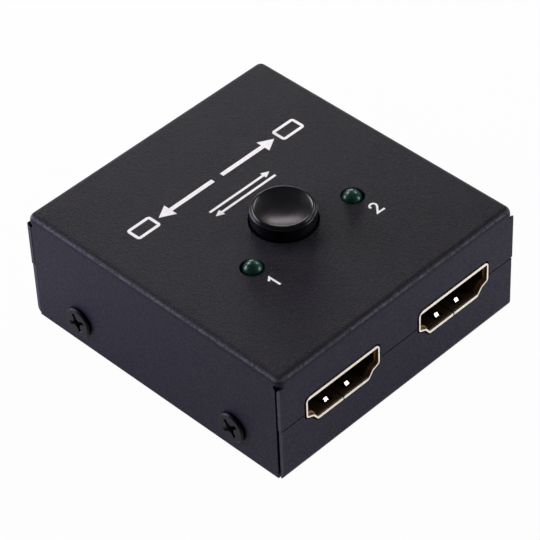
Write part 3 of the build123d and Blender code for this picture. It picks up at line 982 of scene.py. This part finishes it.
@dataclass
class PrintedMarks:
    """White marks on the top panel: the places' numbers and a plain two-way arrow sign."""

    thickness: float = 0.02
    # the digits, drawn along the middle of their strokes
    digit_stroke: float = 0.33
    mitre_limit: float = 0.4
    digit_one: tuple[Point, ...] = ((-10.88, -10.62), (-10.27, -10.1), (-10.23, -12.28))
    digit_two: tuple[Point, ...] = (
        (10.26, -10.74), (10.25, -10.42), (10.46, -10.17), (10.85, -10.07), (11.22, -10.21),
        (11.37, -10.58), (11.2, -11.02), (10.72, -11.52), (10.18, -12.12), (11.58, -12.16),
    )
    # two long arrows that point away from the middle, at a screen each
    long_row: float = 10.7
    long_reach: float = 17.3
    long_start: float = 0.9
    long_bar: float = 0.75
    head_length: float = 2.4
    head_width: float = 2.7
    screen_width: float = 4.6
    screen_height: float = 2.8
    screen_line: float = 0.5
    screen_rounding: float = 0.55
    screen_gap: float = 1.6
    # two short arrows side by side below them, one each way
    short_row: float = 5.4
    short_reach: float = 6.2
    short_offset: float = 0.62
    short_bar: float = 0.42
    short_head: float = 1.3

    def build(self) -> None:
        """Print all marks as one thin layer of ink."""
        marks = bmesh.new()
        self.print_stroke(marks, self.digit_one)
        self.print_stroke(marks, self.digit_two)
        long_run = self.long_reach - self.screen_width - self.screen_gap
        for side in (-1, 1):
            self.print_screen(marks, side * (self.long_reach - self.screen_width / 2))
            self.print_arrow(
                marks, (side * self.long_start, self.long_row), side * long_run, self.long_bar,
                self.head_length, self.head_width,
            )
            self.print_arrow(
                marks, (-side * self.short_reach, self.short_row + side * self.short_offset),
                side * self.short_reach * 2, self.short_bar, self.short_head, self.short_head,
            )
        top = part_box("top_cover")[1].z
        bmesh.ops.translate(marks, vec=(0, 0, top), verts=marks.verts)
        Piece("printed_marks", SCREEN_INK, Body.CASE, Slot.CASE_PAINT).finish_mesh(marks)

    def print_stroke(self, marks: Shape, path: tuple[Point, ...]) -> None:
        """Add one digit drawn as a single line of even width with mitred corners.

        Args:
            marks: mesh of all marks.
            path: points along the middle of the line.
        """
        points = [Vector(point) for point in path]
        sides: tuple[list[Vector], list[Vector]] = ([], [])
        for place, point in enumerate(points):
            before = (point - points[place - 1]).normalized() if place else None
            after = (points[place + 1] - point).normalized() if place + 1 < len(points) else None
            along = (before or after) + (after or before)
            across = Vector((-along.y, along.x)).normalized()
            stretch = across.dot(Vector((-(after or before).y, (after or before).x)))
            reach = across * self.digit_stroke / 2 / max(stretch, self.mitre_limit)
            sides[0].append(point + reach)
            sides[1].append(point - reach)
        part = bmesh.new()
        part.faces.new([
            part.verts.new((corner.x * MM, corner.y * MM, 0)) for corner in sides[1] + sides[0][::-1]
        ])
        self.thicken_into(marks, part)

    def print_arrow(
        self, marks: Shape, tail: Point, run: float, bar: float, head: float, head_width: float
    ) -> None:
        """Add an arrow along X.

        Args:
            marks: mesh of all marks.
            tail: middle of the arrow's tail.
            run: length from tail to point, negative to the left.
            bar: width of the shaft.
            head: length of the head.
            head_width: width of the head.
        """
        way = math.copysign(1.0, run)
        neck = run - way * head
        outline = [
            (0, -bar / 2), (neck, -bar / 2), (neck, -head_width / 2), (run, 0),
            (neck, head_width / 2), (neck, bar / 2), (0, bar / 2),
        ]
        part = bmesh.new()
        part.faces.new([
            part.verts.new(((tail[0] + x) * MM, (tail[1] + y) * MM, 0)) for x, y in outline
        ])
        self.thicken_into(marks, part)

    def print_screen(self, marks: Shape, middle: float) -> None:
        """Add the outline of a screen with rounded corners, in the row of the long arrows.

        Args:
            marks: mesh of all marks.
            middle: the screen's middle along X.
        """
        part = bmesh.new()
        bmesh.ops.create_grid(part, x_segments=1, y_segments=1, size=0.5)
        bmesh.ops.scale(part, vec=(self.screen_width * MM, self.screen_height * MM, 1), verts=part.verts)
        bmesh.ops.bevel(
            part, geom=part.verts[:], offset=self.screen_rounding * MM, offset_type="OFFSET",
            segments=CORNER_SEGMENTS, profile=0.5, affect="VERTICES", material=-1,
        )
        window = part.faces[:]
        bmesh.ops.inset_individual(part, faces=window, thickness=self.screen_line * MM)
        bmesh.ops.delete(part, geom=window, context="FACES_ONLY")
        bmesh.ops.translate(part, vec=(middle * MM, self.long_row * MM, 0), verts=part.verts)
        self.thicken_into(marks, part)

    def thicken_into(self, marks: Shape, part: Shape) -> None:
        """Give a flat shape the ink's thickness and add it to the marks.

        Args:
            marks: mesh of all marks.
            part: the flat shape, freed here.
        """
        raised = bmesh.ops.extrude_face_region(part, geom=part.faces[:])["geom"]
        verts = [item for item in raised if isinstance(item, bmesh.types.BMVert)]
        bmesh.ops.translate(part, vec=(0, 0, self.thickness * MM), verts=verts)
        bmesh.ops.recalc_face_normals(part, faces=part.faces)
        mesh = bpy.data.meshes.new("mark")
        part.to_mesh(mesh)
        part.free()
        marks.from_mesh(mesh)
        bpy.data.meshes.remove(mesh)


@dataclass
class Softbox:
    """One soft lamp: where it stands round the box, how wide it is and how strong."""

    name: str
    azimuth: float
    elevation: float
    distance: float
    width: float
    height: float
    power: float
    tone: str = "#ffffff"

    def build(self) -> None:
        """Hang the lamp so that it faces the box."""
        turn, tilt = math.radians(self.azimuth), math.radians(self.elevation)
        away = Vector((
            math.sin(turn) * math.cos(tilt), -math.cos(turn) * math.cos(tilt), math.sin(tilt)
        ))
        light = bpy.data.lights.new(self.name, "AREA")
        light.shape = "RECTANGLE"
        light.size = self.width * MM
        light.size_y = self.height * MM
        light.energy = self.power
        light.color = linear(self.tone)[:3]
        lamp = bpy.data.objects.new(self.name, light)
        lamp.location = away * self.distance * MM
        lamp.rotation_mode = "QUATERNION"
        lamp.rotation_quaternion = away.to_track_quat("Z", "Y")
        bpy.context.scene.collection.objects.link(lamp)


@dataclass
class Studio:
    """White table, plain room light and soft lamps on both sides and behind."""

    room_tone: str = "#f7f5ff"
    room_strength: float = 0.14
    # the table: its size, its paper, and how much of the lamps' light it shows
    table_size: float = 6000.0
    paper_tones: tuple[str, str] = ("#b4b4b4", "#bcbcbc")
    paper_grain: float = 10 / 3
    paper_detail: float = 2.0
    lit_share: float = 0.025
    # a painted shadow round the box's foot, seen only by glossy faces: out to where, fading over how far,
    # how much
    foot: float = 27.0
    foot_fade: float = 17.0
    foot_shade: float = 0.32
    # each with its azimuth, elevation, distance, width, height, power and tone
    lamps: tuple[Softbox, ...] = (
        Softbox("right_softbox", 42, 10, 900, 360, 360, 4.8, "#f0eeff"),
        Softbox("rear_right_softbox", 96, 39, 320, 130, 130, 0.35, "#fffaf8"),
        Softbox("rear_left_softbox", 176, 39, 320, 130, 130, 0.58, "#fffaf8"),
        Softbox("rear_softbox", 136, 27.5, 900, 220, 120, 0.46, "#fff0f6"),
        Softbox("rear_edge_softbox", 140, 11, 350, 160, 60, 0.22),
        Softbox("left_edge_softbox", -145, 14, 250, 120, 120, 0.6, "#e2deff"),
    )

    def build(self) -> None:
        """Light the room, lay the table and hang the lamps."""
        self.light_room()
        self.lay_table()
        for lamp in self.lamps:
            lamp.build()
        LOG.info("studio: %d lamps", len(self.lamps))

    def light_room(self) -> None:
        """Give the world the room's plain light."""
        world = bpy.data.worlds.new("plain_room")
        world.use_nodes = True
        world.node_tree.nodes.clear()
        room = add_node(
            world.node_tree, "Background",
            {"Color": linear(self.room_tone), "Strength": self.room_strength},
        )
        add_node(world.node_tree, "OutputWorld", links={"Surface": room.outputs["Background"]})
        bpy.context.scene.world = world

    def lay_table(self) -> None:
        """Lay a matt white table under the box."""
        shape = bmesh.new()
        bmesh.ops.create_grid(shape, x_segments=1, y_segments=1, size=self.table_size * MM / 2)
        mesh = bpy.data.meshes.new("table")
        shape.to_mesh(mesh)
        shape.free()
        mesh.materials.append(self.table_paper())
        table = bpy.data.objects.new("table", mesh)
        bpy.context.scene.collection.objects.link(table)

    def table_paper(self) -> bpy.types.Material:
        """White paper that reads as white to the eye, mirrors and glass, and keeps the shadow.

        Returns:
            The paper's material.
        """
        paper = bpy.data.materials.new("white_paper")
        paper.use_nodes = True
        tree = paper.node_tree
        tree.nodes.clear()
        place = add_node(tree, "TexCoord").outputs["Object"]
        # pressed fibres, drawn coarser than real ones, which are too fine to show
        fibre = add_node(
            tree, "TexNoise",
            {"Scale": 1 / (self.paper_grain * MM), "Detail": self.paper_detail}, {"Vector": place},
        )
        dark, pale = (linear(tone) for tone in self.paper_tones)
        tone = blend_tones(tree, fibre.outputs["Fac"], dark, pale)
        matt = add_node(tree, "BsdfDiffuse", links={"Color": tone})
        path = add_node(tree, "LightPath").outputs
        # painted shadow round the box's foot, in what glossy faces see
        strength = self.mirrored_strength(tree, place, path["Is Glossy Ray"])
        glow = add_node(tree, "Emission", {"Color": (1, 1, 1, 1)}, {"Strength": strength})
        seen = path["Is Camera Ray"]
        for ray in ("Is Glossy Ray", "Is Transmission Ray"):
            seen = add_node(
                tree, "Math", {"operation": "MAXIMUM"}, {0: seen, 1: path[ray]}
            ).outputs[0]
        share = add_node(tree, "Math", {"operation": "MULTIPLY", 1: 1 - self.lit_share}, {0: seen})
        mixed = add_node(
            tree, "MixShader", links={0: share.outputs[0], 1: matt.outputs[0], 2: glow.outputs[0]}
        )
        add_node(tree, "OutputMaterial", links={"Surface": mixed.outputs[0]})
        return paper

    def mirrored_strength(self, tree: Tree, place: Socket, glossy: Socket) -> Socket:
        """Paint a shadow round the box's foot into the paper's white, in what glossy faces mirror.

        Args:
            tree: node tree that gets the nodes.
            place: object coordinates of the table.
            glossy: one for rays that glossy faces send.

        Returns:
            The white's strength, one away from the box and to all other rays.
        """
        away = add_node(tree, "VectorMath", {"operation": "LENGTH"}, {0: place}).outputs["Value"]
        near = add_node(
            tree, "MapRange",
            {
                "From Min": self.foot * MM, "From Max": (self.foot + self.foot_fade) * MM,
                "To Min": self.foot_shade, "To Max": 0.0,
            },
            {"Value": away},
        )
        dimmed = add_node(
            tree, "Math", {"operation": "MULTIPLY"}, {0: near.outputs["Result"], 1: glossy}
        )
        return add_node(
            tree, "Math", {"operation": "SUBTRACT", 0: 1.0}, {1: dimmed.outputs[0]}
        ).outputs[0]


@dataclass
class Viewpoint:
    """The camera, where the photograph was taken from."""

    azimuth: float = -43.83
    elevation: float = 42.47
    roll: float = -2.63
    distance: float = 414.8
    aim_level: float = 9.865
    # the lens, in pixels of the picture, and the sensor that they stand for
    focal_pixels: float = 2805.8
    frame_pixels: float = 540.0
    shift_x: float = -1.40
    shift_y: float = -9.61
    sensor: float = 36.0
    nearest: float = 10.0
    farthest: float = 20000.0

    def build(self) -> None:
        """Place the camera and make it the scene's own."""
        turn, tilt, roll = (math.radians(angle) for angle in (self.azimuth, self.elevation, self.roll))
        back = Vector((math.sin(turn) * math.cos(tilt), -math.cos(turn) * math.cos(tilt), math.sin(tilt)))
        right = Vector((math.cos(turn), math.sin(turn), 0))
        up = back.cross(right)
        across = math.cos(roll) * right + math.sin(roll) * up
        upright = math.cos(roll) * up - math.sin(roll) * right
        lens = bpy.data.cameras.new("camera")
        lens.sensor_width = self.sensor
        lens.lens = self.focal_pixels / self.frame_pixels * self.sensor
        lens.shift_x = self.shift_x / self.frame_pixels
        lens.shift_y = self.shift_y / self.frame_pixels
        lens.clip_start = self.nearest * MM
        lens.clip_end = self.farthest * MM
        camera = bpy.data.objects.new("camera", lens)
        camera.matrix_world = Matrix.Translation(
            back * self.distance * MM + Vector((0, 0, self.aim_level * MM))
        ) @ Matrix((across, upright, back)).transposed().to_4x4()
        bpy.context.scene.collection.objects.link(camera)
        bpy.context.scene.camera = camera


def main() -> None:
    """Build the box, the studio and the camera."""
    logging.basicConfig(level=logging.INFO, format="%(name)s %(message)s")
    bpy.context.scene.view_settings.view_transform = "Standard"
    sub_assemblies: list[SubAssembly] = [
        Viewpoint(),
        SheetCase(),
        PrintedMarks(),
        SideScrews(),
        VideoSocket("front_socket_1", Side.FRONT),
        VideoSocket("front_socket_2", Side.FRONT),
        VideoSocket("back_socket", Side.BACK),
        PushButton(),
        IndicatorLamp(1),
        IndicatorLamp(2),
        ReturnSpring(),
        Works(),
        Studio(),
    ]
    for assembly in sub_assemblies:
        LOG.info("building %s", type(assembly).__name__)
        assembly.build()


if __name__ == "__main__":
    main()
